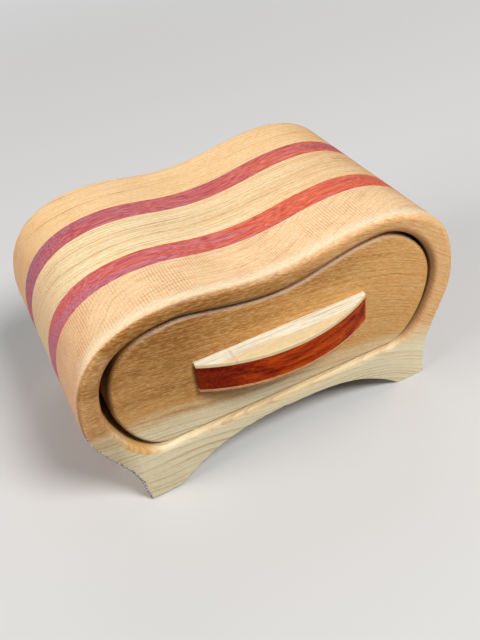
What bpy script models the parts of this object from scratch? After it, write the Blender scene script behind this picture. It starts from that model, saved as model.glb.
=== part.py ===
"""Bandsaw box with one drawer, sawn from a laminated block of cherry and padauk.

Metres, +Z up, +X to the right seen from the front, +Y into the box.
The block is five boards glued face to face. Its outline is sawn right through, a slice is
sawn off the back, the drawer is sawn out of the middle, and the slice is glued on again.
The drawer is made the same way: slices off its front and back, a tray sawn out between.
"""

import bpy
import bmesh
from math import asin, cos, pi, radians, sin, sqrt
from mathutils import Vector

# The case: overall sizes and the boards of the block, front to back
case_width = 0.1856
case_height = 0.1041
front_layer_depth = 0.0299
stripe_depth = 0.0127
middle_layer_depth = 0.0291
rear_layer_depth = 0.0222
back_panel_depth = 0.0070
glue_line = 0.00005
saw_kerf = 0.0010

# The case: walls round the drawer opening, feet and arch
left_wall = 0.0102
right_wall = 0.0114
top_wall = 0.0080
rail_height = 0.0067
arch_height = 0.0206
foot_width = 0.0161

# Edges: one round-over bit for case and opening, a smaller one for the drawer, and a light
# easing by hand on the legs, the handle and the back of the drawer
edge_round = 0.0032
drawer_edge_round = 0.0024
light_ease = 0.0005

# The drawer: how it sits in its opening, and its boards
drawer_right_gap = 0.0006
drawer_left_gap = 0.0036
drawer_top_gap = 0.0019
drawer_floor_gap = 0.0003
drawer_rear_gap = 0.0003
drawer_front_depth = 0.0080
drawer_back_depth = 0.0080
tray_wall = 0.0075
tray_mouth_lip = 0.0200

# The handle: three strips glued flat, bowed in front, and its two dowels
handle_length = 0.0843
handle_projection = 0.0134
handle_tip = 0.0020
handle_top_height = 0.0019
handle_core_height = 0.0127
handle_bottom_height = 0.0018
handle_rise = 0.0249
handle_offset = 0.0014
handle_slope_degrees = 0.9
dowel_radius = 0.0032
dowel_fit = 0.0001
dowel_spacing = 0.0440
dowel_in_handle = 0.0065
dowel_in_drawer = 0.0055

# How fine the curves are cut, and how far cutters pass the wood
round_steps = 5
arc_steps = 36
dowel_sides = 24
overrun = 0.0020

# What counts as a sharp edge, and as a level face
sharp_angle = radians(35)
level_normal = 0.999

# Places that follow from the sizes above. The two slices sawn off the drawer shorten it by
# two saw cuts, so glued up again and pushed home its face stands back by as much.
floor_height = arch_height + rail_height
opening_width = case_width - left_wall - right_wall
opening_height = case_height - top_wall - floor_height
opening_centre = (left_wall - right_wall) / 2
drawer_width = opening_width - drawer_left_gap - drawer_right_gap
drawer_height = opening_height - drawer_top_gap - drawer_floor_gap
drawer_centre = opening_centre + (drawer_left_gap - drawer_right_gap) / 2
ring_depth = (front_layer_depth + stripe_depth + middle_layer_depth + stripe_depth
              + rear_layer_depth)
case_depth = ring_depth + back_panel_depth
drawer_recess = 2 * saw_kerf
handle_overhang = handle_projection + glue_line - drawer_recess
case_front = (handle_overhang - case_depth) / 2
drawer_face = case_front + drawer_recess

# The case outline, as the maker would draw it on the block: a pen line through a few places.
# A row is a place, the straight reach of the line before it and the reach after it, in shares
# of half the case width and of the case height, and the number of cuts to the next place.
case_shares = (
    ((-0.804, 0.000), (0.000, 0.000), (-0.012, 0.050), 3),
    ((-0.825, 0.134), (0.006, -0.045), (-0.042, 0.180), 12),
    ((-1.000, 0.576), (0.000, -0.187), (0.000, 0.258), 18),
    ((-0.506, 1.000), (-0.343, 0.000), (0.180, 0.000), 10),
    ((0.000, 0.946), (-0.216, 0.000), (0.218, 0.000), 10),
    ((0.539, 0.995), (-0.217, 0.000), (0.281, 0.000), 18),
    ((1.000, 0.615), (0.000, 0.243), (0.000, -0.174), 12),
    ((0.842, 0.106), (0.000, 0.200), (0.000, -0.040), 3),
    ((0.852, 0.000), (-0.004, 0.040), (0.000, 0.000), 1),
)

# The arch between the feet, from the right foot to the left, in shares of half its span and
# of its height
arch_shares = (
    ((1.000, 0.000), (0.000, 0.000), (-0.291, 0.811), 11),
    ((0.050, 1.000), (0.379, 0.000), (-0.448, 0.000), 11),
    ((-1.000, 0.000), (0.333, 0.835), (0.000, 0.000), 1),
)

# The drawer opening, and so the drawer, in shares of half its width and of its height
opening_shares = (
    ((-1.000, 0.475), (0.000, -0.065), (0.000, 0.342), 16),
    ((-0.529, 1.000), (-0.351, 0.000), (0.085, 0.000), 9),
    ((0.032, 0.887), (-0.220, 0.000), (0.216, 0.000), 9),
    ((0.641, 0.994), (-0.244, 0.000), (0.171, 0.000), 14),
    ((1.000, 0.533), (0.000, 0.233), (0.000, -0.241), 14),
    ((0.715, 0.000), (0.146, 0.000), (0.000, 0.000), 5),
    ((-0.724, 0.032), (0.000, 0.000), (-0.199, 0.004), 12),
)

# The round-over fades to a light easing down the legs, between these shares of the height
fade_low_share = 0.43
fade_high_share = 0.72

# Colours of the woods, linear
cherry_colour = (0.56, 0.32, 0.13, 1.0)
padauk_colour = (0.42, 0.06, 0.03, 1.0)
maple_colour = (0.83, 0.72, 0.50, 1.0)
beech_colour = (0.62, 0.42, 0.24, 1.0)


def clear_scene():
    for thing in list(bpy.data.objects):
        bpy.data.objects.remove(thing, do_unlink=True)


def wood(name, colour, roughness):
    """An oiled wood as a plain Principled material."""
    material = bpy.data.materials.new(name)
    material.use_nodes = True
    shader = material.node_tree.nodes["Principled BSDF"]
    shader.inputs["Base Color"].default_value = colour
    shader.inputs["Roughness"].default_value = roughness
    shader.inputs["Metallic"].default_value = 0.0
    material.diffuse_color = colour
    return material


def pen_line(rows, half_width, height, centre, base):
    """Points (x, z) along the cubic curves that join the rows' places."""
    scale = Vector((half_width, height))
    start = Vector((centre, base))
    points = []
    for row, following in zip(rows, rows[1:] + rows[:1]):
        place, _, after, cuts = row
        a = start + Vector(place) * scale
        b = a + Vector(after) * scale
        d = start + Vector(following[0]) * scale
        c = d + Vector(following[1]) * scale
        for cut in range(cuts):
            t = cut / cuts
            s = 1 - t
            points.append(a * s ** 3 + b * 3 * s * s * t + c * 3 * s * t * t + d * t ** 3)
    return points


def outward(points):
    """At each point of a clockwise outline, the way out, longer at a corner so that both
    edges there move by the same distance."""
    ways = []
    for index, point in enumerate(points):
        before = (point - points[index - 1]).normalized()
        after = (points[(index + 1) % len(points)] - point).normalized()
        normal_before = Vector((-before.y, before.x))
        normal_after = Vector((-after.y, after.x))
        middle = (normal_before + normal_after).normalized()
        ways.append(middle / max(middle.dot(normal_before), 0.6))
    return ways


def moved(points, ways, distances):
    return [p + way * d for p, way, d in zip(points, ways, distances)]


def finished(mesh, name, flat_faces):
    """The mesh as data, smooth but for its sawn-flat faces and its sharp edges."""
    bmesh.ops.recalc_face_normals(mesh, faces=mesh.faces)
    for face in mesh.faces:
        face.smooth = face not in flat_faces
    data = bpy.data.meshes.new(name)
    mesh.to_mesh(data)
    mesh.free()
    data.set_sharp_from_angle(angle=sharp_angle)
    return data


def loft(name, rings):
    """A closed solid through rings of points. A ring is its depth at each point, and the
    points; the first and last rings are filled."""
    mesh = bmesh.new()
    loops = []
    for depths, points in rings:
        loops.append([mesh.verts.new((p.x, y, p.y)) for p, y in zip(points, depths)])
    ends = [mesh.faces.new(loops[0]), mesh.faces.new(loops[-1][::-1])]
    count = len(loops[0])
    for near, far in zip(loops, loops[1:]):
        for i in range(count):
            j = (i + 1) % count
            mesh.faces.new((near[j], near[i], far[i], far[j]))
    return finished(mesh, name, ends)


def slab(name, points, depth, front_round=None, back_round=None):
    """A board sawn to an outline, from y = 0 to its depth, with its front or back edge
    rounded over by the radius given for each point."""
    ways = outward(points)
    rings = []
    steps = [pi / 2 * step / round_steps for step in range(round_steps + 1)]
    if front_round:
        for turn in steps:
            inset = [-r * (1 - sin(turn)) for r in front_round]
            rings.append(([r * (1 - cos(turn)) for r in front_round],
                          moved(points, ways, inset)))
    else:
        rings.append(([0.0] * len(points), points))
    if back_round:
        for turn in reversed(steps):
            inset = [-r * (1 - sin(turn)) for r in back_round]
            rings.append(([depth - r * (1 - cos(turn)) for r in back_round],
                          moved(points, ways, inset)))
    else:
        rings.append(([depth] * len(points), points))
    return loft(name, rings)


def flared_slab(name, points, depth, radius):
    """The wood taken out of the opening: its mouth flares by the round-over's radius."""
    ways = outward(points)
    flare = [radius] * len(points)
    rings = [([-overrun] * len(points), moved(points, ways, flare))]
    for step in range(round_steps + 1):
        turn = pi / 2 * step / round_steps
        outset = [radius * (1 - sin(turn))] * len(points)
        rings.append(([radius * (1 - cos(turn))] * len(points), moved(points, ways, outset)))
    rings.append(([depth + overrun] * len(points), points))
    return loft(name, rings)


def empty(name, place, parent=None, turn=0.0):
    axis = bpy.data.objects.new(name, None)
    bpy.context.collection.objects.link(axis)
    axis.location = place
    axis.rotation_euler = (0.0, turn, 0.0)
    axis.parent = parent
    return axis


def add(name, data, material, parent, place):
    piece = bpy.data.objects.new(name, data)
    bpy.context.collection.objects.link(piece)
    piece.parent = parent
    piece.location = place
    if material:
        data.materials.append(material)
    return piece


def add_cutter(name, data, parent, place):
    cutter = add(name, data, None, parent, place)
    cutter.hide_render = True
    cutter.display_type = "WIRE"
    return cutter


def cut(piece, *cutters):
    for cutter in cutters:
        sawing = piece.modifiers.new("Cut " + cutter.name, "BOOLEAN")
        sawing.operation = "DIFFERENCE"
        sawing.solver = "EXACT"
        sawing.object = cutter


def case_outline():
    half = case_width / 2
    sides = pen_line(case_shares, half, case_height, 0.0, 0.0)
    left_foot = case_shares[0][0][0] * half + foot_width
    right_foot = case_shares[-1][0][0] * half - foot_width
    arch = pen_line(arch_shares, (right_foot - left_foot) / 2, arch_height,
                    (left_foot + right_foot) / 2, 0.0)
    return sides + arch


def case_edge_radii(points):
    """The full round-over on the shoulders and top, fading to a light easing on the legs."""
    low = fade_low_share * case_height
    high = fade_high_share * case_height
    radii = []
    for point in points:
        t = min(max((point.y - low) / (high - low), 0.0), 1.0)
        blend = t * t * (3 - 2 * t)
        radii.append(light_ease + (edge_round - light_ease) * blend)
    return radii


def build_case(cherry, padauk):
    outline = case_outline()
    radii = case_edge_radii(outline)
    seat = empty("case_axis", (0.0, case_front, 0.0))
    opening_line = pen_line(opening_shares, opening_width / 2, opening_height,
                            opening_centre, floor_height)
    opening = add_cutter("opening_cutter",
                         flared_slab("opening_cutter", opening_line, ring_depth, edge_round),
                         seat, (0.0, 0.0, 0.0))
    layers = (
        ("case_front_layer", front_layer_depth, cherry, radii),
        ("case_front_stripe", stripe_depth, padauk, None),
        ("case_middle_layer", middle_layer_depth, cherry, None),
        ("case_rear_stripe", stripe_depth, padauk, None),
        ("case_rear_layer", rear_layer_depth, cherry, None),
    )
    front = 0.0
    for name, depth, material, front_radii in layers:
        board = slab(name, outline, depth - glue_line, front_radii)
        cut(add(name, board, material, seat, (0.0, front, 0.0)), opening)
        front += depth
    panel = slab("case_back_panel", outline, back_panel_depth, None, radii)
    add("case_back_panel", panel, cherry, seat, (0.0, front, 0.0))


def tray_cutters(outline, seat, front, depth):
    """What is sawn out of the tray: a hollow that follows its outline, open at the top."""
    inner_line = moved(outline, outward(outline), [-tray_wall] * len(outline))
    hollow = add_cutter("tray_hollow_cutter",
                        slab("tray_hollow_cutter", inner_line, depth + 2 * overrun),
                        seat, (0.0, front - overrun, 0.0))
    low = drawer_height / 2
    high = drawer_height + overrun
    half = drawer_width / 2 - tray_mouth_lip
    mouth_line = [Vector((-half, low)), Vector((-half, high)),
                  Vector((half, high)), Vector((half, low))]
    mouth = add_cutter("tray_mouth_cutter",
                       slab("tray_mouth_cutter", mouth_line, depth + 2 * overrun),
                       seat, (0.0, front - overrun, 0.0))
    return hollow, mouth


def build_drawer(cherry, padauk):
    seat = empty("drawer_slide", (drawer_centre, drawer_face, floor_height + drawer_floor_gap))
    outline = pen_line(opening_shares, drawer_width / 2, drawer_height, 0.0, 0.0)
    radii = [drawer_edge_round] * len(outline)
    face = slab("drawer_front", outline, drawer_front_depth - glue_line, radii)
    front = add("drawer_front", face, cherry, seat, (0.0, 0.0, 0.0))

    tray_front = drawer_front_depth
    layers = (
        ("tray_front_layer", front_layer_depth - drawer_front_depth - saw_kerf, cherry),
        ("tray_front_stripe", stripe_depth, padauk),
        ("tray_middle_layer", middle_layer_depth, cherry),
        ("tray_rear_stripe", stripe_depth, padauk),
        ("tray_rear_layer", rear_layer_depth - drawer_back_depth - saw_kerf
         - drawer_rear_gap, cherry),
    )
    tray_depth = sum(depth for _, depth, _ in layers)
    cutters = tray_cutters(outline, seat, tray_front, tray_depth)
    y = tray_front
    for name, depth, material in layers:
        board = slab(name, outline, depth - glue_line)
        cut(add(name, board, material, seat, (0.0, y, 0.0)), *cutters)
        y += depth
    back = slab("drawer_back", outline, drawer_back_depth, None, [light_ease] * len(outline))
    add("drawer_back", back, cherry, seat, (0.0, y, 0.0))
    return seat, front


def handle_plan():
    """The handle seen from above, (x, y): a flat back, blunt tips and a bowed front."""
    half = handle_length / 2
    bow = handle_projection - handle_tip
    radius = (half * half + bow * bow) / (2 * bow)
    sweep = asin(half / radius)
    middle = radius - handle_projection
    points = [Vector((half, 0.0))]
    for step in range(arc_steps + 1):
        turn = sweep * (1 - 2 * step / arc_steps)
        points.append(Vector((radius * sin(turn), middle - radius * cos(turn))))
    points.append(Vector((-half, 0.0)))
    return points


def handle_strip(name, plan, low, high, ease_low=False, ease_high=False):
    """One strip of the handle: its plan raised from low to high, with the outer edges eased."""
    mesh = bmesh.new()
    base = mesh.faces.new([mesh.verts.new((p.x, p.y, low)) for p in plan])
    raised = bmesh.ops.extrude_face_region(mesh, geom=[base])["geom"]
    top_verts = [v for v in raised if isinstance(v, bmesh.types.BMVert)]
    bmesh.ops.translate(mesh, verts=top_verts, vec=(0.0, 0.0, high - low))
    bmesh.ops.recalc_face_normals(mesh, faces=mesh.faces)
    eased = []
    for edge in mesh.edges:
        heights = [v.co.z for v in edge.verts]
        in_front = min(v.co.y for v in edge.verts) < -handle_tip / 2
        level = abs(heights[0] - heights[1]) < light_ease / 10
        is_low = ease_low and level and abs(heights[0] - low) < light_ease / 10
        is_high = ease_high and level and abs(heights[0] - high) < light_ease / 10
        if in_front and (is_low or is_high):
            eased.append(edge)
    if eased:
        bmesh.ops.bevel(mesh, geom=eased, offset=light_ease, segments=2, profile=0.5,
                        affect="EDGES")
    level_faces = [face for face in mesh.faces if abs(face.normal.z) > level_normal]
    return finished(mesh, name, level_faces)


def round_bar(name, radius, front, back):
    """A round bar along Y, from front to back."""
    mesh = bmesh.new()
    ring = []
    for side in range(dowel_sides):
        turn = 2 * pi * side / dowel_sides
        ring.append(mesh.verts.new((radius * cos(turn), front, radius * sin(turn))))
    face = mesh.faces.new(ring)
    raised = bmesh.ops.extrude_face_region(mesh, geom=[face])["geom"]
    far = [v for v in raised if isinstance(v, bmesh.types.BMVert)]
    bmesh.ops.translate(mesh, verts=far, vec=(0.0, back - front, 0.0))
    ends = [face for face in mesh.faces if len(face.verts) == dowel_sides]
    return finished(mesh, name, ends)


def build_handle(drawer_seat, drawer_front, maple, padauk, cherry, beech):
    place = (handle_offset - drawer_centre, -glue_line, handle_rise)
    seat = empty("handle_seat", place, drawer_seat, radians(handle_slope_degrees))
    plan = handle_plan()
    core_low = handle_bottom_height
    core_high = core_low + handle_core_height
    top = core_high + handle_top_height
    add("handle_bottom_strip",
        handle_strip("handle_bottom_strip", plan, 0.0, core_low - glue_line, ease_low=True),
        cherry, seat, (0.0, 0.0, 0.0))
    core = add("handle_core",
               handle_strip("handle_core", plan, core_low, core_high - glue_line),
               padauk, seat, (0.0, 0.0, 0.0))
    add("handle_top_strip",
        handle_strip("handle_top_strip", plan, core_high, top, ease_high=True),
        maple, seat, (0.0, 0.0, 0.0))

    front_end = -dowel_in_handle
    back_end = glue_line + dowel_in_drawer
    middle = (core_low + core_high) / 2
    for name, side in (("handle_dowel_left", -1), ("handle_dowel_right", 1)):
        place = (side * dowel_spacing / 2, 0.0, middle)
        add(name, round_bar(name, dowel_radius, front_end, back_end), beech, seat, place)
        hole = add_cutter(name + "_hole_cutter",
                          round_bar(name + "_hole_cutter", dowel_radius + dowel_fit,
                                    front_end - dowel_fit, back_end + dowel_fit),
                          seat, place)
        cut(core, hole)
        cut(drawer_front, hole)


clear_scene()
cherry_wood = wood("cherry", cherry_colour, 0.45)
padauk_wood = wood("padauk", padauk_colour, 0.40)
maple_wood = wood("maple", maple_colour, 0.45)
beech_wood = wood("beech", beech_colour, 0.60)
build_case(cherry_wood, padauk_wood)
slide, face_board = build_drawer(cherry_wood, padauk_wood)
build_handle(slide, face_board, maple_wood, padauk_wood, cherry_wood, beech_wood)
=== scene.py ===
"""Looks of a laminated bandsaw box with one drawer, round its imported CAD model.

Metres, in the CAD's frame: +X to the right seen from the front, +Y into the box, +Z up.
The sections follow the box as it is put together.
"""

from math import asin, cos, pi, radians, sin
from random import Random
from types import SimpleNamespace

import bmesh
import bpy
from mathutils import Matrix, Vector


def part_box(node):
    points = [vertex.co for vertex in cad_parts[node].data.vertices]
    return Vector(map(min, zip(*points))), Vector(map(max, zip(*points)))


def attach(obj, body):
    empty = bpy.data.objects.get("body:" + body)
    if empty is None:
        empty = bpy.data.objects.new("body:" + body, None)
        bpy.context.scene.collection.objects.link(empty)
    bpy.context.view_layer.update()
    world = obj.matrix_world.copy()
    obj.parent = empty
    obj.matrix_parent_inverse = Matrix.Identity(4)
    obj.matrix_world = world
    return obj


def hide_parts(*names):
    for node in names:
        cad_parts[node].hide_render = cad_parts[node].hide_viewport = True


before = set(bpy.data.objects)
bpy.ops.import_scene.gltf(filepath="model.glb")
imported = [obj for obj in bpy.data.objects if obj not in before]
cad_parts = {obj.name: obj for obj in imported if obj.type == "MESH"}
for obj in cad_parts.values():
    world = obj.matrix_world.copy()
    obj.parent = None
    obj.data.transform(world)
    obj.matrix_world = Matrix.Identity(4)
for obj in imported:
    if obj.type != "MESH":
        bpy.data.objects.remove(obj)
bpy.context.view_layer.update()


# The front board of the case. Cherry, planed, glued in a block with the other four boards and
# sawn with them to one outline. Its front edge and the mouth of the opening are rounded over
# with one router bit. On the legs the edge is only eased by hand, and on the left one torn.

case_low, case_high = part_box("case_middle_layer")
block_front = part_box("case_front_layer")[0].y
half_case = (case_high.x - case_low.x) / 2
case_height = case_high.z - case_low.z
foot_width = 0.0161
arch_height = 0.0206
opening_width = 0.1640
opening_height = 0.0688
opening_centre = -0.0006
opening_floor = 0.0273
edge_round = 0.0032
round_steps = 10
hand_ease = 0.0005
torn_ease = 0.0013
hand_rough = 0.3
fade_low = 0.43 * case_height
fade_high = 0.72 * case_height
corner_limit = 0.6
crisp_angle = radians(35)

# Pen lines, as in the CAD source: a place, the reach of the line before it and after it, in
# shares of the outline's half width and height, and the number of cuts to the next place.
case_line = (
    ((-0.804, 0.000), (0.000, 0.000), (-0.012, 0.050), 22),
    ((-0.825, 0.134), (0.006, -0.045), (-0.042, 0.180), 80),
    ((-1.000, 0.576), (0.000, -0.187), (0.000, 0.258), 54),
    ((-0.506, 1.000), (-0.343, 0.000), (0.180, 0.000), 30),
    ((0.000, 0.946), (-0.216, 0.000), (0.218, 0.000), 30),
    ((0.539, 0.995), (-0.217, 0.000), (0.281, 0.000), 54),
    ((1.000, 0.615), (0.000, 0.243), (0.000, -0.174), 60),
    ((0.842, 0.106), (0.000, 0.200), (0.000, -0.040), 14),
    ((0.852, 0.000), (-0.004, 0.040), (0.000, 0.000), 1),
)
arch_line = (
    ((1.000, 0.000), (0.000, 0.000), (-0.291, 0.811), 34),
    ((0.050, 1.000), (0.379, 0.000), (-0.448, 0.000), 34),
    ((-1.000, 0.000), (0.333, 0.835), (0.000, 0.000), 1),
)
opening_line = (
    ((-1.000, 0.475), (0.000, -0.065), (0.000, 0.342), 48),
    ((-0.529, 1.000), (-0.351, 0.000), (0.085, 0.000), 27),
    ((0.032, 0.887), (-0.220, 0.000), (0.216, 0.000), 27),
    ((0.641, 0.994), (-0.244, 0.000), (0.171, 0.000), 42),
    ((1.000, 0.533), (0.000, 0.233), (0.000, -0.241), 42),
    ((0.715, 0.000), (0.146, 0.000), (0.000, 0.000), 15),
    ((-0.724, 0.032), (0.000, 0.000), (-0.199, 0.004), 36),
)


def pen_points(line, half_width, height, centre, base):
    """Points (x, z) along the cubic curves that join a pen line's places."""
    scale = Vector((half_width, height))
    start = Vector((centre, base))
    points = []
    for row, following in zip(line, line[1:] + line[:1]):
        place, _, after, cuts = row
        a = start + Vector(place) * scale
        b = a + Vector(after) * scale
        d = start + Vector(following[0]) * scale
        c = d + Vector(following[1]) * scale
        for cut in range(cuts):
            t = cut / cuts
            s = 1 - t
            points.append(a * s ** 3 + b * 3 * s * s * t + c * 3 * s * t * t + d * t ** 3)
    return points


def ways_out(points):
    """At each point of a clockwise outline, the way out of it, longer at a corner."""
    ways = []
    for index, point in enumerate(points):
        before = (point - points[index - 1]).normalized()
        after = (points[(index + 1) % len(points)] - point).normalized()
        normal_before = Vector((-before.y, before.x))
        normal_after = Vector((-after.y, after.x))
        middle = (normal_before + normal_after).normalized()
        ways.append(middle / max(middle.dot(normal_before), corner_limit))
    return ways


def case_outline():
    """The sawn outline of every board of the case: its sides and top, then the arch."""
    sides = pen_points(case_line, half_case, case_height, 0.0, 0.0)
    left_foot = case_line[0][0][0] * half_case + foot_width
    right_foot = case_line[-1][0][0] * half_case - foot_width
    arch = pen_points(arch_line, (right_foot - left_foot) / 2, arch_height,
                      (left_foot + right_foot) / 2, 0.0)
    return sides + arch


outline = case_outline()
opening = pen_points(opening_line, opening_width / 2, opening_height, opening_centre,
                     opening_floor)


def case_radii(points, torn=False):
    """The round-over's radius at each point. It fades down the legs to an uneven edge eased
    by hand, wider where the left leg is torn."""
    draw = Random(4)
    radii = []
    for point in points:
        t = min(max((point.y - fade_low) / (fade_high - fade_low), 0.0), 1.0)
        blend = t * t * (3 - 2 * t)
        left_leg = torn and point.x < 0 and point.y < fade_low
        ease = torn_ease if left_leg else hand_ease
        eased = ease * (1 + hand_rough * draw.uniform(-1, 1))
        radii.append(eased + (edge_round - eased) * blend)
    return radii


def skin_loops(points, front, back, front_round=None, back_round=None):
    """Loops of a board's outer skin from front to back, rounded by a radius at each point."""
    ways = ways_out(points)
    loops = []
    turns = [pi / 2 * step / round_steps for step in range(round_steps + 1)]
    for turn in turns if front_round else ():
        loops.append([(p - w * r * (1 - sin(turn)), front + r * (1 - cos(turn)))
                      for p, w, r in zip(points, ways, front_round)])
    if not front_round:
        loops.append([(p, front) for p in points])
    for turn in reversed(turns) if back_round else ():
        loops.append([(p - w * r * (1 - sin(turn)), back - r * (1 - cos(turn)))
                      for p, w, r in zip(points, ways, back_round)])
    if not back_round:
        loops.append([(p, back) for p in points])
    return [[(p.x, y, p.y) for p, y in loop] for loop in loops]


def opening_loops(*depths):
    """Loops of the opening's skin, straight through a board."""
    return [[(p.x, y, p.y) for p in opening] for y in depths]


def mouth_loops(front, back):
    """Loops of the opening's skin, with its mouth flared by the round-over."""
    ways = ways_out(opening)
    loops = []
    for step in range(round_steps + 1):
        turn = pi / 2 * step / round_steps
        out = edge_round * (1 - sin(turn))
        y = front + edge_round * (1 - cos(turn))
        loops.append([(p.x + w.x * out, y, p.y + w.y * out) for p, w in zip(opening, ways)])
    return loops + opening_loops(back)


def board_mesh(outer, inner=None):
    """A closed board from the loops of its outer skin and of the opening through it."""
    mesh = bmesh.new()
    skins = []
    for loops in (outer, inner) if inner else (outer,):
        skin = [[mesh.verts.new(point) for point in loop] for loop in loops]
        skins.append(skin)
        for near, far in zip(skin, skin[1:]):
            for i, vertex in enumerate(near):
                quad = mesh.faces.new((near[i - 1], vertex, far[i], far[i - 1]))
                quad.smooth = True
    for end in (0, -1):
        rim = []
        for skin in skins:
            loop = skin[end]
            rim += [mesh.edges.get((loop[i - 1], vertex)) for i, vertex in enumerate(loop)]
        bmesh.ops.triangle_fill(mesh, use_beauty=True, edges=rim)
    return mesh


def finished(mesh, name, material, body, node):
    """The mesh as a piece that rides on a body and stands for a CAD node."""
    bmesh.ops.recalc_face_normals(mesh, faces=mesh.faces)
    data = bpy.data.meshes.new(name)
    mesh.to_mesh(data)
    mesh.free()
    data.set_sharp_from_angle(angle=crisp_angle)
    data.materials.append(material)
    piece = bpy.data.objects.new(name, data)
    bpy.context.scene.collection.objects.link(piece)
    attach(piece, body)
    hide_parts(node)


def linear(colour):
    """An sRGB hex colour as linear RGBA."""
    channels = [int(colour[i:i + 2], 16) / 255 for i in (0, 2, 4)]
    return tuple(c / 12.92 if c <= 0.04045 else ((c + 0.055) / 1.055) ** 2.4
                 for c in channels) + (1.0,)


def set_inputs(tree, node, inputs):
    """Sets a node's inputs to values, or links them from sockets."""
    for socket, value in inputs.items():
        if isinstance(value, bpy.types.NodeSocket):
            tree.links.new(value, node.inputs[socket])
        else:
            node.inputs[socket].default_value = value


def add_node(tree, kind, inputs=None, **settings):
    """A node with its settings and its inputs."""
    node = tree.nodes.new(kind)
    for setting, value in settings.items():
        setattr(node, setting, value)
    set_inputs(tree, node, inputs or {})
    return node


# Patterns in the wood are sized in mm, and so are places and heights in its materials
mm = 1000.0
block_front_mm = block_front * mm


def board_of(name):
    """A new material for wood, with each point's place in mm and the way that it faces."""
    material = bpy.data.materials.new(name)
    material.use_nodes = True
    tree = material.node_tree
    coordinates = add_node(tree, "ShaderNodeTexCoord").outputs
    normal = coordinates["Normal"]
    place = add_node(tree, "ShaderNodeVectorMath", {0: coordinates["Object"], "Scale": mm},
                     operation="SCALE").outputs[0]
    x, y, z = add_node(tree, "ShaderNodeSeparateXYZ", {0: place}).outputs
    facing = add_node(tree, "ShaderNodeSeparateXYZ", {0: normal}).outputs
    return SimpleNamespace(material=material, tree=tree, place=place, x=x, y=y, z=z,
                           normal=normal, facing_x=facing["X"], facing_y=facing["Y"],
                           facing_z=facing["Z"])


def oiled(board, colour, gloss, relief, depth):
    """The finish of the wood: sanded and oiled, so satin, with a grain that is just felt."""
    bump = add_node(board.tree, "ShaderNodeBump", {"Height": relief, "Strength": depth,
                    "Distance": 0.0002}).outputs[0]
    set_inputs(board.tree, board.tree.nodes["Principled BSDF"], {
        "Base Color": colour, "Roughness": gloss, "IOR": 1.45, "Normal": bump})


def cherry_grain(board, pith, ring=2.2, uneven=2.0, lines=0.5, steady=0.15, drop=0.0,
                 bend=0.0):
    """Growth rings round a pith at (y, z) in mm, a ring apart, wandering by a few mm along
    the board. Each ends in a thin dark line, which comes and goes but keeps a steady share.
    The grain drops to the right by a share of the way, and bends down at the right end."""
    tree = board.tree
    right_end = add_node(tree, "ShaderNodeMapRange", {"Value": board.x, "From Min": 35.0,
                         "From Max": 95.0, "To Max": 1.7}).outputs[0]
    board.falling = add_node(tree, "ShaderNodeMath", {0: right_end, 1: 2.0},
                             operation="POWER").outputs[0]
    height = board.z
    for way, share in ((board.x, drop), (board.falling, bend)):
        height = add_node(tree, "ShaderNodeMath", {0: way, 1: share, 2: height},
                          operation="MULTIPLY_ADD").outputs[0]
    grain = add_node(tree, "ShaderNodeCombineXYZ", {"X": board.x, "Y": board.y,
                     "Z": height}).outputs[0]
    slow = add_node(tree, "ShaderNodeVectorMath", {0: grain, 1: (1 / 60, 1 / 30, 1 / 30)},
                    operation="MULTIPLY").outputs[0]
    wander = add_node(tree, "ShaderNodeTexNoise", {"Vector": slow, "Scale": 1.0,
                      "Detail": 2.0}).outputs["Color"]
    sway = add_node(tree, "ShaderNodeVectorMath", {0: wander, 1: (0.0, 7.0, 7.0), 2: grain},
                    operation="MULTIPLY_ADD").outputs[0]
    across = add_node(tree, "ShaderNodeVectorMath", {0: sway, 1: (0.0, 1.0, 1.0)},
                      operation="MULTIPLY").outputs[0]
    radius = add_node(tree, "ShaderNodeVectorMath", {0: across, 1: (0.0, *pith)},
                      operation="DISTANCE").outputs["Value"]
    years = add_node(tree, "ShaderNodeMath", {0: radius, 1: 1 / ring},
                     operation="MULTIPLY").outputs[0]
    climate = add_node(tree, "ShaderNodeTexNoise", {"W": years, "Scale": 0.5},
                       noise_dimensions="1D").outputs[0]
    year = add_node(tree, "ShaderNodeMath", {0: climate, 1: uneven, 2: years},
                    operation="MULTIPLY_ADD").outputs[0]
    season = add_node(tree, "ShaderNodeMath", {0: year}, operation="FRACT").outputs[0]
    late = add_node(tree, "ShaderNodeMath", {0: season, 1: 4.0}, operation="POWER").outputs[0]

    # What else lies along the grain, by its length, depth and height in mm. Real pores are
    # 0.1 mm wide, too fine to show, and are drawn four times as coarse
    for pattern, size, detail in (
        ("drift", (50.0, 4.0, 4.0), 2.0),
        ("streaks", (24.0, 0.6, 0.6), 2.0),
        ("flecks", (3.5, 0.6, 0.55), 4.0),
        ("pores", (2.0, 0.4, 0.4), 1.0),
        ("clouds", (45.0, 9.0, 6.0), 3.0),
    ):
        drawn = add_node(tree, "ShaderNodeVectorMath",
                         {0: sway, 1: tuple(1 / length for length in size)},
                         operation="MULTIPLY").outputs[0]
        noise = add_node(tree, "ShaderNodeTexNoise", {"Vector": drawn, "Scale": 1.0,
                         "Detail": detail}).outputs[0]
        setattr(board, pattern, noise)
    depth = add_node(tree, "ShaderNodeMapRange", {"Value": board.drift, "From Min": 0.42,
                     "From Max": 0.60, "To Min": steady * lines, "To Max": lines}).outputs[0]
    board.lines = add_node(tree, "ShaderNodeMath", {0: late, 1: depth},
                           operation="MULTIPLY").outputs[0]
    board.streaks = add_node(tree, "ShaderNodeMapRange", {"Value": board.streaks,
                             "From Min": 0.36, "From Max": 0.62, "To Min": 1.0 - 0.13 * lines,
                             "To Max": 1.0 + 0.07 * lines}).outputs[0]


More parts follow.
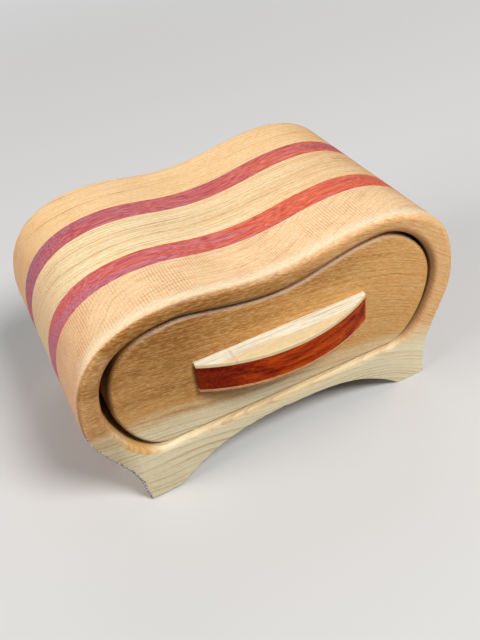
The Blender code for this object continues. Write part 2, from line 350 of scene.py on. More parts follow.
def heartwood_share(board, tilt, start, middle):
    """How deep the heartwood's colour is. It grows with the distance from a middle, weighed
    by a tilt along each axis, past a start in mm, and is clouded along the grain."""
    tree = board.tree
    away = add_node(tree, "ShaderNodeVectorMath", {0: board.place, 1: middle},
                    operation="SUBTRACT").outputs[0]
    away = add_node(tree, "ShaderNodeVectorMath", {0: away}, operation="ABSOLUTE").outputs[0]
    level = add_node(tree, "ShaderNodeVectorMath", {0: away, 1: tilt},
                     operation="DOT_PRODUCT").outputs["Value"]
    level = add_node(tree, "ShaderNodeMath", {0: board.clouds, 1: 20.0, 2: level},
                     operation="MULTIPLY_ADD").outputs[0]
    return add_node(tree, "ShaderNodeMapRange", {"Value": level, "From Min": start,
                    "From Max": start + 18.0}).outputs[0]


def find_skin(board, reach, turn):
    """Finds the outer skin, whose faces look away from the middle of the block by more than
    a reach in mm. It ends sooner, by a turn in mm, where they look to the front. Finds also
    how far each face looks sideways."""
    tree = board.tree
    from_middle = add_node(tree, "ShaderNodeVectorMath", {0: board.place,
                           1: (0.0, 0.0, 50.0)}, operation="SUBTRACT").outputs[0]
    flat_way = add_node(tree, "ShaderNodeVectorMath", {0: from_middle, 1: (0.5, 0.0, 1.0)},
                        operation="MULTIPLY").outputs[0]
    board.outward = add_node(tree, "ShaderNodeVectorMath", {0: flat_way, 1: board.normal},
                             operation="DOT_PRODUCT").outputs["Value"]
    sooner = add_node(tree, "ShaderNodeMath", {0: board.facing_y, 1: turn,
                      2: board.outward}, operation="MULTIPLY_ADD").outputs[0]
    board.skin = add_node(tree, "ShaderNodeMapRange", {"Value": sooner, "From Min": reach,
                          "From Max": reach + 14.0}).outputs[0]
    board.sideways = add_node(tree, "ShaderNodeMath", {0: board.facing_x},
                              operation="ABSOLUTE").outputs[0]


def sapwood(board, wood, calm, tone, top):
    """Pale sapwood below a height on the front of the board, with painted light that makes it
    creamier at the right end, a ragged upper edge and calmer flecks. Returns the wood and how
    strong its flecks are."""
    tree = board.tree
    lean = add_node(tree, "ShaderNodeVectorMath", {0: board.place, 1: (0.11, 1.2, 1.0)},
                    operation="DOT_PRODUCT").outputs["Value"]
    for way, share in ((board.falling, 2.2), (board.clouds, 16.0), (board.flecks, 5.0)):
        lean = add_node(tree, "ShaderNodeMath", {0: way, 1: share, 2: lean},
                        operation="MULTIPLY_ADD").outputs[0]
    # Clouds and flecks raise it by 10.5 mm on the whole
    edge = top + 10.5 + 1.2 * block_front_mm
    young = add_node(tree, "ShaderNodeMapRange", {"Value": lean, "From Min": edge + 8.0,
                     "From Max": edge - 8.0}, interpolation_type="SMOOTHSTEP").outputs[0]
    # Painted light: the sapwood turns a paler cream towards the right end
    painted_light_right = add_node(tree, "ShaderNodeMapRange", {"Value": board.x, "From Min": 45.0,
                     "From Max": 80.0}).outputs[0]
    pale = add_node(tree, "ShaderNodeMix", {0: painted_light_right, 6: linear(tone), 7: linear("F6E8C0")},
                    data_type="RGBA").outputs[2]
    wood = add_node(tree, "ShaderNodeMix", {0: young, 6: wood, 7: pale},
                    data_type="RGBA").outputs[2]
    quiet = add_node(tree, "ShaderNodeMapRange", {"Value": young, "To Min": 1.0,
                     "To Max": 0.4}).outputs[0]
    calm = add_node(tree, "ShaderNodeMath", {0: calm, 1: quiet},
                    operation="MULTIPLY").outputs[0]
    return wood, calm


def cross_lines(board, wood, depth):
    """Fine brown lines across the grain, 1.0 mm apart round the outline, in drifting patches
    on the outer skin. The real ones are finer, too fine to show."""
    tree = board.tree
    over = add_node(tree, "ShaderNodeMath", {0: board.z, 1: 40.0},
                    operation="SUBTRACT").outputs[0]
    along = add_node(tree, "ShaderNodeMath", {0: board.x, 1: 0.8},
                     operation="MULTIPLY").outputs[0]
    angle = add_node(tree, "ShaderNodeMath", {0: along, 1: over},
                     operation="ARCTAN2").outputs[0]
    way_round = add_node(tree, "ShaderNodeMath", {0: angle, 1: 75.0},
                         operation="MULTIPLY").outputs[0]
    way_round = add_node(tree, "ShaderNodeCombineXYZ", {"X": way_round,
                         "Y": board.y}).outputs[0]
    crossing = add_node(tree, "ShaderNodeTexWave", {"Vector": way_round, "Scale": 0.32,
                        "Distortion": 2.6, "Detail": 2.0, "Detail Scale": 0.25},
                        bands_direction="X").outputs["Fac"]
    crossing = add_node(tree, "ShaderNodeMath", {0: crossing, 1: 2.5},
                        operation="POWER").outputs[0]
    patches = add_node(tree, "ShaderNodeTexNoise", {"Vector": board.place, "Scale": 0.07,
                       "Detail": 4.0}).outputs[0]
    patch = add_node(tree, "ShaderNodeMapRange", {"Value": patches, "From Min": 0.42,
                     "From Max": 0.62, "To Min": 0.05 * depth, "To Max": depth}).outputs[0]
    level = add_node(tree, "ShaderNodeMapRange", {"Value": board.facing_y,
                     "From Min": -0.05, "From Max": -0.50, "To Min": 1.0,
                     "To Max": 0.1}).outputs[0]
    for mask in (patch, board.skin, level):
        crossing = add_node(tree, "ShaderNodeMath", {0: crossing, 1: mask},
                            operation="MULTIPLY").outputs[0]
    return add_node(tree, "ShaderNodeMix", {0: crossing, 6: wood, 7: linear("C0946A")},
                    data_type="RGBA", blend_type="MULTIPLY").outputs[2]


def painted_highlight_edge(board, wood):
    """A painted highlight: a pale cream band along the front edge of the top."""
    tree = board.tree
    highlight_share = add_node(tree, "ShaderNodeMapRange", {"Value": board.y,
                     "From Min": block_front_mm + 8.5, "From Max": block_front_mm + 3.5,
                     "To Max": 0.7}).outputs[0]
    upward = add_node(tree, "ShaderNodeMapRange", {"Value": board.facing_z,
                      "From Min": 0.45, "From Max": 0.75}).outputs[0]
    level = add_node(tree, "ShaderNodeMapRange", {"Value": board.facing_y,
                     "From Min": -0.50, "From Max": -0.10, "To Min": 0.2}).outputs[0]
    for mask in (upward, board.skin, level):
        highlight_share = add_node(tree, "ShaderNodeMath", {0: highlight_share, 1: mask},
                         operation="MULTIPLY").outputs[0]
    return add_node(tree, "ShaderNodeMix", {0: highlight_share, 6: wood, 7: linear("EADABA")},
                    data_type="RGBA").outputs[2]


def dark_ends_and_shade(board, wood, depth, inside, rounded):
    """Darker sawn faces that look sideways: painted shade inside the case on the opening's
    right wall, painted shade and end grain where the oil sank in on the sides of the drawer's
    front, less on its rounded edge, and end grain where the oil sank in on the whole outer
    skin of the tray."""
    tree = board.tree
    shaded_end = add_node(tree, "ShaderNodeMapRange", {"Value": board.sideways,
                    "From Min": 0.30, "From Max": 0.75, "To Max": depth}).outputs[0]
    if inside:
        leftward = add_node(tree, "ShaderNodeMath", {0: board.facing_x, 1: 0.0},
                            operation="LESS_THAN").outputs[0]
        not_skin = add_node(tree, "ShaderNodeMath", {0: 1.0, 1: board.skin},
                            operation="SUBTRACT").outputs[0]
        masks = (leftward, not_skin)
    elif rounded:
        deep_in = add_node(tree, "ShaderNodeMapRange", {"Value": board.facing_y,
                           "From Min": -0.45, "From Max": -0.10, "To Min": 0.6}).outputs[0]
        masks = (deep_in,)
    else:
        masks = (board.skin,)
    for mask in masks:
        shaded_end = add_node(tree, "ShaderNodeMath", {0: shaded_end, 1: mask},
                        operation="MULTIPLY").outputs[0]
    return add_node(tree, "ShaderNodeMix", {0: shaded_end, 6: wood, 7: linear("4A3024")},
                    data_type="RGBA", blend_type="MULTIPLY").outputs[2]


def painted_sheen_edge(board, wood, depth):
    """A painted sheen on a rounded edge: a pale grey where it faces up, for reflected light."""
    tree = board.tree
    sheen_share = add_node(tree, "ShaderNodeMapRange", {"Value": board.facing_z, "From Min": 0.30,
                    "From Max": 0.55, "To Max": depth}).outputs[0]
    for pattern, least, most, rest in (
        (board.facing_y, -0.10, -0.35, 0.0),
        (board.facing_x, -0.50, -0.20, 0.0),
        (board.pores, 0.36, 0.60, 0.35),
    ):
        mask = add_node(tree, "ShaderNodeMapRange", {"Value": pattern, "From Min": least,
                        "From Max": most, "To Min": rest}).outputs[0]
        sheen_share = add_node(tree, "ShaderNodeMath", {0: sheen_share, 1: mask},
                        operation="MULTIPLY").outputs[0]
    return add_node(tree, "ShaderNodeMix", {0: sheen_share, 6: wood, 7: linear("B29E88")},
                    data_type="RGBA").outputs[2]


def torn_edge(board, wood):
    """The left leg's torn edge: dark and pale crumbs, near 1 mm across, on the narrow faces
    that turn from the front to the left, and a front beside them that is darker towards the
    left."""
    tree = board.tree
    corner = add_node(tree, "ShaderNodeMath", {0: board.facing_y, 1: board.facing_x},
                      operation="MULTIPLY").outputs[0]
    torn = add_node(tree, "ShaderNodeMapRange", {"Value": corner, "From Min": 0.03,
                    "From Max": 0.07}).outputs[0]
    leg = add_node(tree, "ShaderNodeMapRange", {"Value": board.z, "From Min": 60.0,
                   "From Max": 48.0}).outputs[0]
    left = add_node(tree, "ShaderNodeMapRange", {"Value": board.x, "From Min": -60.0,
                    "From Max": -64.0}).outputs[0]
    front = add_node(tree, "ShaderNodeMath", {0: board.y, 1: block_front_mm + 1.0},
                     operation="LESS_THAN").outputs[0]
    # The front beside the tear is darker towards the left
    darker_left = add_node(tree, "ShaderNodeMapRange", {"Value": board.x, "From Min": -74.0,
                      "From Max": -82.0}).outputs[0]
    for mask in (leg, left, front):
        torn = add_node(tree, "ShaderNodeMath", {0: torn, 1: mask},
                        operation="MULTIPLY").outputs[0]
    for mask in (leg, front):
        darker_left = add_node(tree, "ShaderNodeMath", {0: darker_left, 1: mask},
                          operation="MULTIPLY").outputs[0]
    wood = add_node(tree, "ShaderNodeMix", {0: darker_left, 6: wood, 7: linear("E0DAD2")},
                    data_type="RGBA", blend_type="MULTIPLY").outputs[2]
    crumbs = add_node(tree, "ShaderNodeTexNoise", {"Vector": board.place, "Scale": 1.1,
                      "Detail": 4.0, "Roughness": 0.7}).outputs[0]
    crumbs = add_node(tree, "ShaderNodeMapRange", {"Value": crumbs, "From Min": 0.43,
                      "From Max": 0.58}).outputs[0]
    tear = add_node(tree, "ShaderNodeMix", {0: crumbs, 6: linear("4E3A34"),
                    7: linear("E6E0DE")}, data_type="RGBA").outputs[2]
    return add_node(tree, "ShaderNodeMix", {0: torn, 6: wood, 7: tear},
                    data_type="RGBA").outputs[2]


def mouth_shade_and_tint(board, wood):
    """The opening's flared mouth cuts across the fibres: browner towards the middle, partly
    where it drank more oil and partly as painted shade in the recess, and golden in its lower
    left corner."""
    tree = board.tree
    mouth = add_node(tree, "ShaderNodeMapRange", {"Value": board.outward,
                     "From Min": -2.0, "From Max": -12.0}).outputs[0]
    # Where along the board or up it each darkening starts and is full, and how strong it is
    # there: first the brown that is partly painted shade, then the golden tint
    for places, tone in (
        (((board.x, -58.0, -30.0, 0.1, 1.0), (board.x, 0.0, 40.0, 0.8, 0.4)), "DCC8B0"),
        (((board.x, -62.0, -70.0, 0.0, 1.0), (board.z, 48.0, 40.0, 0.0, 1.0)), "F2CE9E"),
    ):
        darkening = mouth
        for way, start, stop, first, last in places:
            mask = add_node(tree, "ShaderNodeMapRange", {"Value": way, "From Min": start,
                            "From Max": stop, "To Min": first, "To Max": last}).outputs[0]
            darkening = add_node(tree, "ShaderNodeMath", {0: darkening, 1: mask},
                             operation="MULTIPLY").outputs[0]
        wood = add_node(tree, "ShaderNodeMix", {0: darkening, 6: wood, 7: linear(tone)},
                        data_type="RGBA", blend_type="MULTIPLY").outputs[2]
    return wood


def cherry(name, deep, light, tilt, start, middle=(-200.0, 0.0, 0.0), fleck=1.0, sap=None,
           sap_top=None, skin_tone=None, ripple=0.0, ends=0.0, sheen=0.0, torn=False,
           **rings):
    """Black cherry, sanded and oiled. Its heartwood is deep or light, with growth rings and
    short wavy flecks along the grain, and ends that take more oil. Where asked, it turns to
    sapwood below a height, its skin has a paler tone of its own, partly painted light, with
    fine lines across the grain and a painted highlight along the top's front edge, its sawn
    ends are dark, partly as painted shade, its rounded edges carry a painted sheen, and its
    left leg is torn."""
    board = board_of(name)
    tree = board.tree
    cherry_grain(board, **rings)
    level = heartwood_share(board, tilt, start, middle)
    if skin_tone:
        find_skin(board, reach=30.0, turn=10.5)
    else:
        find_skin(board, reach=22.0, turn=0.0)
    lines = board.lines
    endways = add_node(tree, "ShaderNodeMapRange", {"Value": board.sideways,
                       "From Min": 0.35, "From Max": 0.85}).outputs[0]
    endways = add_node(tree, "ShaderNodeMath", {0: endways, 1: board.skin},
                       operation="MULTIPLY").outputs[0]
    faint = add_node(tree, "ShaderNodeMapRange", {"Value": endways, "To Min": 1.0,
                     "To Max": 0.5}).outputs[0]
    lines = add_node(tree, "ShaderNodeMath", {0: lines, 1: faint},
                     operation="MULTIPLY").outputs[0]
    pale = linear(light)
    if skin_tone:
        # The outer skin is paler and plainer than the face, partly as paler wood and partly as
        # painted light
        sanded = add_node(tree, "ShaderNodeMapRange", {"Value": board.skin, "To Min": 1.0,
                          "To Max": 0.1}).outputs[0]
        level = add_node(tree, "ShaderNodeMath", {0: level, 1: sanded},
                         operation="MULTIPLY").outputs[0]
        plain = add_node(tree, "ShaderNodeMapRange", {"Value": board.skin, "To Min": 1.0,
                         "To Max": 0.7}).outputs[0]
        lines = add_node(tree, "ShaderNodeMath", {0: lines, 1: plain},
                         operation="MULTIPLY").outputs[0]
        pale = add_node(tree, "ShaderNodeMix", {0: board.skin, 6: pale,
                        7: linear(skin_tone)}, data_type="RGBA").outputs[2]
    wood = add_node(tree, "ShaderNodeMix", {0: level, 6: pale, 7: linear(deep)},
                    data_type="RGBA").outputs[2]
    calm = add_node(tree, "ShaderNodeMapRange", {"Value": level, "To Min": 0.6 * fleck,
                    "To Max": fleck}).outputs[0]
    if sap:
        wood, calm = sapwood(board, wood, calm, sap, sap_top)
    for mask, tone in ((lines, "C0925E"), (endways, "F3E4E0")):
        wood = add_node(tree, "ShaderNodeMix", {0: mask, 6: wood, 7: linear(tone)},
                        data_type="RGBA", blend_type="MULTIPLY").outputs[2]
    # Fine lines across the grain on the skin, and a painted highlight along the top's front
    # edge
    if skin_tone:
        wood = painted_highlight_edge(board, cross_lines(board, wood, ripple))

    # Flecks, pores and streaks. Darker spots are browner too, as with more of the same wood
    shade = add_node(tree, "ShaderNodeMapRange", {"Value": board.flecks, "From Min": 0.41,
                     "From Max": 0.58, "To Min": -0.18, "To Max": 0.12}).outputs[0]
    shade = add_node(tree, "ShaderNodeMath", {0: shade, 1: calm, 2: 1.0},
                     operation="MULTIPLY_ADD").outputs[0]
    speckle = add_node(tree, "ShaderNodeMapRange", {"Value": board.pores,
                       "From Min": 0.35, "From Max": 0.65, "To Min": 0.86,
                       "To Max": 1.10}).outputs[0]
    for pattern in (speckle, board.streaks):
        shade = add_node(tree, "ShaderNodeMath", {0: shade, 1: pattern},
                         operation="MULTIPLY").outputs[0]
    denser = add_node(tree, "ShaderNodeMath", {0: shade, 1: -1.3, 2: 2.3},
                      operation="MULTIPLY_ADD").outputs[0]
    wood = add_node(tree, "ShaderNodeGamma", {"Color": wood, "Gamma": denser}).outputs[0]
    # Darker sawn ends: painted shade in the opening and in the drawer's gap, and end grain that
    # took oil
    if ends:
        wood = dark_ends_and_shade(board, wood, ends, inside=bool(skin_tone), rounded=bool(sheen))
    # A painted sheen on the rounded edges, where they face up
    if sheen:
        wood = painted_sheen_edge(board, wood, sheen)
    if torn:
        wood = torn_edge(board, wood)
    # The mouth browner, partly as painted shade, and golden at its lower left
    if skin_tone:
        wood = mouth_shade_and_tint(board, wood)
    gloss = add_node(tree, "ShaderNodeMapRange", {"Value": board.pores, "To Min": 0.40,
                     "To Max": 0.58}).outputs[0]
    oiled(board, wood, gloss, board.flecks, 0.3)
    return board.material


# The plank that the front board and the drawer front were sawn from: to the eye a golden
# brown heart over greenish cream sapwood, with growth lines that drop to the right
front_plank = dict(deep="A87536", sap="E8DAB4", sap_top=40.0, middle=(-46.0, 0.0, 0.0),
                   pith=(62.0, -60.0), ring=1.9, steady=0.4, drop=0.14, bend=8.0)
cherry_front = cherry("cherry_sanded_oiled_front", light="EEBC80", tilt=(-0.16, 1.0, 0.12),
                      start=52.5, **front_plank, ripple=0.5, skin_tone="EAC698", ends=0.5,
                      torn=True)
low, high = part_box("case_front_layer")
finished(board_mesh(skin_loops(outline, low.y, high.y, case_radii(outline, torn=True)),
                    mouth_loops(low.y, high.y)),
         "case_front_board", cherry_front, "case", "case_front_layer")


# The two red stripes. Padauk, half an inch thick, glued between the cherry boards, sawn and
# sanded flush with them and oiled.


def padauk(name, red, orange, purple, pore, layers, warmer=0.0, fibres=1.0, dark_end_and_shade=None):
    """Padauk, sanded and oiled. Orange, red and purple bands lie along the grain, as long,
    deep and high as layers says in mm, and get warmer to the right by a share per mm. Thin
    fibres lie over them, and the pores are dark dashes. The end left of a place may be
    darker, partly the wood's own colour and partly painted shade."""
    board = board_of(name)
    tree = board.tree
    wide = add_node(tree, "ShaderNodeVectorMath",
                    {0: board.place, 1: tuple(1 / layer for layer in layers)},
                    operation="MULTIPLY").outputs[0]
    bands = add_node(tree, "ShaderNodeTexNoise", {"Vector": wide, "Scale": 1.0,
                     "Detail": 3.0, "Roughness": 0.6, "Distortion": 0.3}).outputs[0]
    bands = add_node(tree, "ShaderNodeMath", {0: board.x, 1: warmer, 2: bands},
                     operation="MULTIPLY_ADD").outputs[0]
    warm = add_node(tree, "ShaderNodeMapRange", {"Value": bands, "From Min": 0.50,
                    "From Max": 0.68}).outputs[0]
    cool = add_node(tree, "ShaderNodeMapRange", {"Value": bands, "From Min": 0.49,
                    "From Max": 0.32}).outputs[0]
    layered = [(warm, orange), (cool, purple)]
    # A darker left end: partly the wood's own colour, partly painted shade
    if dark_end_and_shade:
        end = add_node(tree, "ShaderNodeMapRange", {"Value": board.x, "From Min": dark_end_and_shade,
                       "From Max": dark_end_and_shade - 22.0, "To Max": 0.8},
                       interpolation_type="SMOOTHSTEP").outputs[0]
        layered.append((end, purple))

    # Real pores are 0.3 mm wide and up to 6 mm long, and are drawn a little coarser to show
    fine = add_node(tree, "ShaderNodeVectorMath", {0: board.place,
                    1: (1 / 4, 1 / 0.45, 1 / 0.45)}, operation="MULTIPLY").outputs[0]
    pores = add_node(tree, "ShaderNodeTexNoise", {"Vector": fine, "Scale": 1.0,
                     "Detail": 1.0}).outputs[0]
    open_pore = add_node(tree, "ShaderNodeMapRange", {"Value": pores, "From Min": 0.56,
                         "From Max": 0.70}).outputs[0]
    dark = add_node(tree, "ShaderNodeMath", {0: open_pore, 1: 0.4},
                    operation="MULTIPLY").outputs[0]
    layered.append((dark, pore))
    wood = linear(red)
    for mask, tone in layered:
        wood = add_node(tree, "ShaderNodeMix", {0: mask, 6: wood, 7: linear(tone)},
                        data_type="RGBA").outputs[2]
    fibre = add_node(tree, "ShaderNodeVectorMath", {0: board.place,
                     1: (1 / 14, 1 / 0.6, 1 / 0.6)}, operation="MULTIPLY").outputs[0]
    fibre = add_node(tree, "ShaderNodeTexNoise", {"Vector": fibre, "Scale": 1.0,
                     "Detail": 2.0}).outputs[0]
    fibre = add_node(tree, "ShaderNodeMapRange", {"Value": fibre, "From Min": 0.34,
                     "From Max": 0.64, "To Min": 1.0 + 0.30 * fibres,
                     "To Max": 1.0 - 0.22 * fibres}).outputs[0]
    wood = add_node(tree, "ShaderNodeGamma", {"Color": wood, "Gamma": fibre}).outputs[0]
    # Painted glints: paler orange flecks between the pores
    glint = add_node(tree, "ShaderNodeMapRange", {"Value": pores, "From Min": 0.40,
                     "From Max": 0.30, "To Max": 0.35}).outputs[0]
    wood = add_node(tree, "ShaderNodeMix", {0: glint, 6: wood, 7: linear(orange)},
                    data_type="RGBA").outputs[2]
    gloss = add_node(tree, "ShaderNodeMapRange", {"Value": open_pore, "To Min": 0.34,
                     "To Max": 0.60}).outputs[0]
    sunk = add_node(tree, "ShaderNodeMath", {0: 1.0, 1: open_pore},
                    operation="SUBTRACT").outputs[0]
    oiled(board, wood, gloss, sunk, 0.4)
    set_inputs(tree, tree.nodes["Principled BSDF"], {"Specular IOR Level": 0.1})
    return board.material


def through_board(name, material, node):
    """A board of the case with square edges and the opening right through it."""
    low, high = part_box(node)
    finished(board_mesh(skin_loops(outline, low.y, high.y), opening_loops(low.y, high.y)),
             name, material, "case", node)


# To the eye an orange red that drifts to purple at the left, with dark dashes
padauk_front = padauk("padauk_sanded_oiled_front", "CA6056", "D86640", "BA6E7A", "5E2020",
                      layers=(50.0, 2.4, 30.0), warmer=0.0019)
through_board("case_front_red_stripe", padauk_front, "case_front_stripe")

# The same, duller and more purple
padauk_rear = padauk("padauk_sanded_oiled_rear", "BE5C5E", "D46A4A", "A66878", "5A2022",
                     layers=(50.0, 2.6, 26.0), warmer=0.0012)
through_board("case_rear_red_stripe", padauk_rear, "case_rear_stripe")


# The middle and rear boards of the case. Cherry like the front board, from other planks,
# glued behind the stripes and sawn with them.

# Nearly all sapwood: to the eye pale cream with many fine dark lines
cherry_middle = cherry("cherry_sanded_oiled_middle", "E2B680", "ECD6AA",
                       tilt=(0.09, 0.0, 0.0), start=22.0, pith=(-190.0, 40.0), ring=1.5,
                       uneven=3.0, lines=1.1, steady=0.5, fleck=0.6)
through_board("case_middle_board", cherry_middle, "case_middle_layer")

# Light heartwood: to the eye a warmer, plainer tan
cherry_rear = cherry("cherry_sanded_oiled_rear", "E0B072", "ECC894", tilt=(0.04, 0.0, 0.0),
                     start=14.0, pith=(-300.0, -110.0), ring=1.6, lines=0.55, steady=0.4,
                     fleck=0.7)
through_board("case_rear_board", cherry_rear, "case_rear_layer")


# The back panel. Cherry, the slice sawn off the rear board before the drawer was sawn out,
# glued on again, so its grain runs on from that board. Its edge is rounded like the front's.

low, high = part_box("case_back_panel")
finished(board_mesh(skin_loops(outline, low.y, high.y, None, case_radii(outline))),
         "case_back_board", cherry_rear, "case", "case_back_panel")


# The drawer front. Cherry, sawn off the front of the drawer and glued on again, of the same
# plank as the case's front, so that sapwood and heartwood run on across the gap. Its front
# edge is rounded over with a smaller bit than the opening's mouth.

drawer_edge_round = 0.0024
low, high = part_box("drawer_front")
drawer_outline = pen_points(opening_line, (high.x - low.x) / 2, high.z - low.z,
                            (high.x + low.x) / 2, low.z)

# To the eye the case's golden brown, deeper, with a painted sheen on its upper edge and
# dark ends that are partly painted shade
cherry_drawer = cherry("cherry_sanded_oiled_drawer", light="E0AC68",
                       tilt=(-0.15, 1.0, 0.22), start=59.5, **front_plank, ends=0.9,
                       sheen=0.7)
finished(board_mesh(skin_loops(drawer_outline, low.y, high.y,
                               [drawer_edge_round] * len(drawer_outline))),
         "drawer_front_board", cherry_drawer, "drawer", "drawer_front")


# The drawer's tray and back. Cherry and padauk, the rest of the block's core, so each board
# of the case carries on inside the drawer. The tray is sawn out from above, and the back is
# the slice sawn off behind it, glued on again.


def dress(node, material):
    """Gives a CAD node that keeps its shape a material."""
    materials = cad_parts[node].data.materials
    materials.clear()
    materials.append(material)


# To the eye like the drawer front, with paler ends
cherry_tray = cherry("cherry_sanded_tray", light="E0AC68", tilt=(-0.15, 1.0, 0.22),
                     start=59.5, ends=0.68, **front_plank)
for node, material in (
    ("tray_front_layer", cherry_tray),
    ("tray_front_stripe", padauk_front),
    ("tray_middle_layer", cherry_middle),
    ("tray_rear_stripe", padauk_rear),
    ("tray_rear_layer", cherry_rear),
    ("drawer_back", cherry_rear),
):
    dress(node, material)


# The handle. Three strips glued flat, a thick padauk one between thin maple and cherry, then
# sawn to one bow and sanded, with its outer edges eased. Two dowels hold it to the drawer.

handle_length = 0.0843
handle_reach = 0.0134
handle_tip = 0.0020
handle_slope = radians(0.9)
handle_place = Vector((0.0014, -0.049125, 0.0525))
handle_ease = 0.0005
joint_gap = 0.00005
bottom_strip = (0.0, 0.0018)
core_strip = (0.0018, 0.0145 - joint_gap)
top_strip = (0.0145, 0.0164)
bow_cuts = 120
ease_cuts = 4
level_from = 0.999


def handle_plan():
    """The handle from above, (x, y): a flat back, blunt tips and a bowed front."""
    half = handle_length / 2
    bow = handle_reach - handle_tip
    radius = (half * half + bow * bow) / (2 * bow)
    sweep = asin(half / radius)
    middle = radius - handle_reach
    bowed = []
    for cut in range(bow_cuts + 1):
        turn = sweep * (1 - 2 * cut / bow_cuts)
        bowed.append((radius * sin(turn), middle - radius * cos(turn)))
    return [(half, 0.0)] + bowed + [(-half, 0.0)]


def handle_strip(name, span, material, node, eased=None):
    """A strip of the handle, its plan raised over a span, eased round its front at a height."""
    low, high = span
    mesh = bmesh.new()
    base = mesh.faces.new([mesh.verts.new((x, y, low)) for x, y in handle_plan()])
    raised = bmesh.ops.extrude_face_region(mesh, geom=[base])["geom"]
    top = [v for v in raised if isinstance(v, bmesh.types.BMVert)]
    bmesh.ops.translate(mesh, verts=top, vec=(0.0, 0.0, high - low))
    bmesh.ops.recalc_face_normals(mesh, faces=mesh.faces)
    if eased is not None:
        edges = [edge for edge in mesh.edges
                 if all(abs(v.co.z - eased) < joint_gap and v.co.y < -handle_tip / 2
                        for v in edge.verts)]
        bmesh.ops.bevel(mesh, geom=edges, offset=handle_ease, segments=ease_cuts,
                        profile=0.5, affect="EDGES")
    for face in mesh.faces:
        face.smooth = abs(face.normal.z) < level_from
    turn = Matrix.Rotation(handle_slope, 4, "Y")
    mesh.transform(Matrix.Translation(handle_place) @ turn)
    finished(mesh, name, material, "drawer", node)


# To the eye an even reddish tan line
cherry_strip = cherry("cherry_sanded_oiled_strip", "CE9460", "DAA06C",
                      tilt=(0.0, 0.0, 0.0), start=2.0, pith=(60.0, 200.0))
handle_strip("handle_bottom_board", bottom_strip, cherry_strip, "handle_bottom_strip",
             eased=bottom_strip[0])

# Older, darker padauk: to the eye a deep orange red, almost black red at the left, where
# part of the dark is painted shade
padauk_handle = padauk("padauk_sanded_oiled_handle", "AA3608", "CA5806", "660C04", "3C0806",
                       layers=(30.0, 6.0, 4.0), fibres=0.3, dark_end_and_shade=-12.0)
handle_strip("handle_core_board", core_strip, padauk_handle, "handle_core")


def maple(name, cream, grey, yellow):
    """Hard maple, sanded smooth: cream, with fine straight grey lines, a yellow band along
    its front, and a faint pink burn across it near the left end."""
    board = board_of(name)
    tree = board.tree
    for pattern, size, rough in (
        ("lines", (60.0, 0.6, 0.6), 0.6),
        ("flecks", (4.0, 1.5, 1.5), 0.5),
    ):
        drawn = add_node(tree, "ShaderNodeVectorMath",
                         {0: board.place, 1: tuple(1 / length for length in size)},
                         operation="MULTIPLY").outputs[0]
        noise = add_node(tree, "ShaderNodeTexNoise", {"Vector": drawn, "Scale": 1.0,
                         "Detail": 2.0, "Roughness": rough}).outputs[0]
        setattr(board, pattern, noise)
    line = add_node(tree, "ShaderNodeMapRange", {"Value": board.lines, "From Min": 0.49,
                    "From Max": 0.62, "To Max": 0.7}).outputs[0]
    slow = add_node(tree, "ShaderNodeTexNoise", {"W": board.x, "Scale": 0.03},
                    noise_dimensions="1D").outputs[0]
    edge = add_node(tree, "ShaderNodeMath", {0: slow, 1: 5.0, 2: board.y},
                    operation="MULTIPLY_ADD").outputs[0]
    band = add_node(tree, "ShaderNodeMapRange", {"Value": edge, "From Min": -52.3,
                    "From Max": -54.0}).outputs[0]
    front = add_node(tree, "ShaderNodeMapRange", {"Value": board.facing_y,
                     "From Min": -0.3, "From Max": -0.7}).outputs[0]
    band = add_node(tree, "ShaderNodeMath", {0: band, 1: front},
                    operation="MAXIMUM").outputs[0]
    wood = linear(cream)
    for mask, tone in ((line, grey), (band, yellow)):
        wood = add_node(tree, "ShaderNodeMix", {0: mask, 6: wood, 7: linear(tone)},
                        data_type="RGBA").outputs[2]
    level = add_node(tree, "ShaderNodeMapRange", {"Value": board.flecks, "From Min": 0.35,
                     "From Max": 0.65, "To Min": 0.93, "To Max": 1.05}).outputs[0]
    wood = add_node(tree, "ShaderNodeVectorMath", {0: wood, "Scale": level},
                    operation="SCALE").outputs[0]
    off = add_node(tree, "ShaderNodeMath", {0: board.x, 1: 24.5}).outputs[0]
    off = add_node(tree, "ShaderNodeMath", {0: off}, operation="ABSOLUTE").outputs[0]
    burn = add_node(tree, "ShaderNodeMapRange", {"Value": off, "From Min": 1.1,
                    "From Max": 0.3, "To Max": 0.4}).outputs[0]
    patchy = add_node(tree, "ShaderNodeMapRange", {"Value": board.flecks,
                      "From Min": 0.40, "From Max": 0.55}).outputs[0]
    burn = add_node(tree, "ShaderNodeMath", {0: burn, 1: patchy},
                    operation="MULTIPLY").outputs[0]
    wood = add_node(tree, "ShaderNodeMix", {0: burn, 6: wood, 7: linear("C08C80")},
                    data_type="RGBA").outputs[2]
    oiled(board, wood, 0.42, level, 0.3)
    return board.material


# To the eye the palest strip, cream and smooth
maple_strip = maple("maple_sanded_oiled", "E8E1CD", "B8AC8E", "DEC698")
handle_strip("handle_top_board", top_strip, maple_strip, "handle_top_strip",
             eased=top_strip[1])

# Bare beech dowels, hidden in their holes: to the eye close grained like the maple, and
# browner
beech = maple("beech_bare_dowel", "D6B48C", "B8926A", "D6B48C")
for node in ("handle_dowel_left", "handle_dowel_right"):
    dress(node, beech)


# The studio: a plain pale paper floor that fades into a pale surround, and three soft lamps.
# The strongest stands in front, to the right and above, a broad one at the left, and a weak
# one behind. None of it is part of the object.

floor_reach = 3.0
surround = "DADADB"
floor_mesh = bmesh.new()
corners = ((-1, -1), (1, -1), (1, 1), (-1, 1))
floor_mesh.faces.new([floor_mesh.verts.new((x * floor_reach, y * floor_reach, 0.0))
                      for x, y in corners])
floor_data = bpy.data.meshes.new("floor")
floor_mesh.to_mesh(floor_data)
floor_mesh.free()

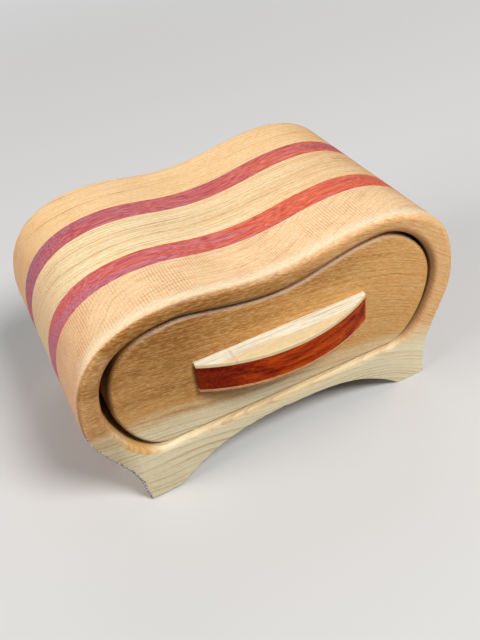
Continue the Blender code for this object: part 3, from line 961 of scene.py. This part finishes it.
# Matt pale paper, darker for the light that bounces off it than for the camera
paper = bpy.data.materials.new("paper_matt_pale")
paper.use_nodes = True
tree = paper.node_tree
paper_shader = tree.nodes["Principled BSDF"]
seen = add_node(tree, "ShaderNodeLightPath").outputs["Is Camera Ray"]
tone = add_node(tree, "ShaderNodeMix", {0: seen, 6: linear("88888C"),
                7: linear("CBCAC8")}, data_type="RGBA").outputs[2]
set_inputs(tree, paper_shader, {"Base Color": tone, "Roughness": 0.9,
                                "Specular IOR Level": 0.0})
place = add_node(tree, "ShaderNodeTexCoord").outputs["Object"]
far = add_node(tree, "ShaderNodeVectorMath", {0: place}, operation="LENGTH").outputs["Value"]
far = add_node(tree, "ShaderNodeMapRange", {"Value": far, "From Min": 0.35,
               "From Max": 1.1}, interpolation_type="SMOOTHSTEP").outputs[0]
far = add_node(tree, "ShaderNodeMath", {0: far, 1: seen}, operation="MULTIPLY").outputs[0]
haze = add_node(tree, "ShaderNodeEmission", {"Color": linear(surround)}).outputs[0]
faded = add_node(tree, "ShaderNodeMixShader", {0: far, 1: paper_shader.outputs[0],
                 2: haze}).outputs[0]
set_inputs(tree, tree.nodes["Material Output"], {"Surface": faded})
floor_data.materials.append(paper)
floor = bpy.data.objects.new("floor", floor_data)
bpy.context.scene.collection.objects.link(floor)

# The room: dim light from all round, and a pale surround that only the camera sees
world = bpy.data.worlds.new("studio")
world.use_nodes = True
bpy.context.scene.world = world
tree = world.node_tree
room = tree.nodes["Background"]
set_inputs(tree, room, {"Color": linear("F4F5FA"), "Strength": 0.16})
backdrop = add_node(tree, "ShaderNodeBackground", {"Color": linear(surround)}).outputs[0]
seen = add_node(tree, "ShaderNodeLightPath").outputs["Is Camera Ray"]
shown = add_node(tree, "ShaderNodeMixShader", {0: seen, 1: room.outputs[0],
                 2: backdrop}).outputs[0]
set_inputs(tree, tree.nodes["World Output"], {"Surface": shown})

# Soft round lamps that look at the box: the way to each, its size and its watts
lamp_distance = 2.2
for name, way, size, watts in (
    ("lamp_behind", (0.27, 0.71, 0.65), 1.8, 9.0),
    ("lamp_front", (0.30, -0.55, 0.78), 0.8, 45.5),
    ("lamp_left", (-0.90, -0.02, 0.42), 1.4, 33.0),
):
    lamp_data = bpy.data.lights.new(name, "AREA")
    lamp_data.shape = "DISK"
    lamp_data.size = size
    lamp_data.energy = watts
    lamp = bpy.data.objects.new(name, lamp_data)
    lamp.location = Vector(way).normalized() * lamp_distance
    lamp.rotation_euler = Vector(way).to_track_quat("Z", "Y").to_euler()
    bpy.context.scene.collection.objects.link(lamp)

# The camera, where the glue lines and the front face show that the photograph was taken
camera_place = Vector((-0.09820, -0.26474, 0.27821))
camera_right = Vector((0.88757, -0.44471, -0.12024)).normalized()
camera_ahead = Vector((0.26849, 0.71146, -0.64941)).normalized()
camera_up = camera_right.cross(camera_ahead)
camera_data = bpy.data.cameras.new("camera")
camera_data.sensor_fit = "HORIZONTAL"
camera_data.sensor_width = 36.0
camera_data.lens = 54.64
camera_data.clip_start = 0.01
camera = bpy.data.objects.new("camera", camera_data)
turned = Matrix((camera_right, camera_up, -camera_ahead)).transposed().to_4x4()
camera.matrix_world = Matrix.Translation(camera_place) @ turned
bpy.context.scene.collection.objects.link(camera)
bpy.context.scene.camera = camera
bpy.context.scene.view_settings.view_transform = "Standard"
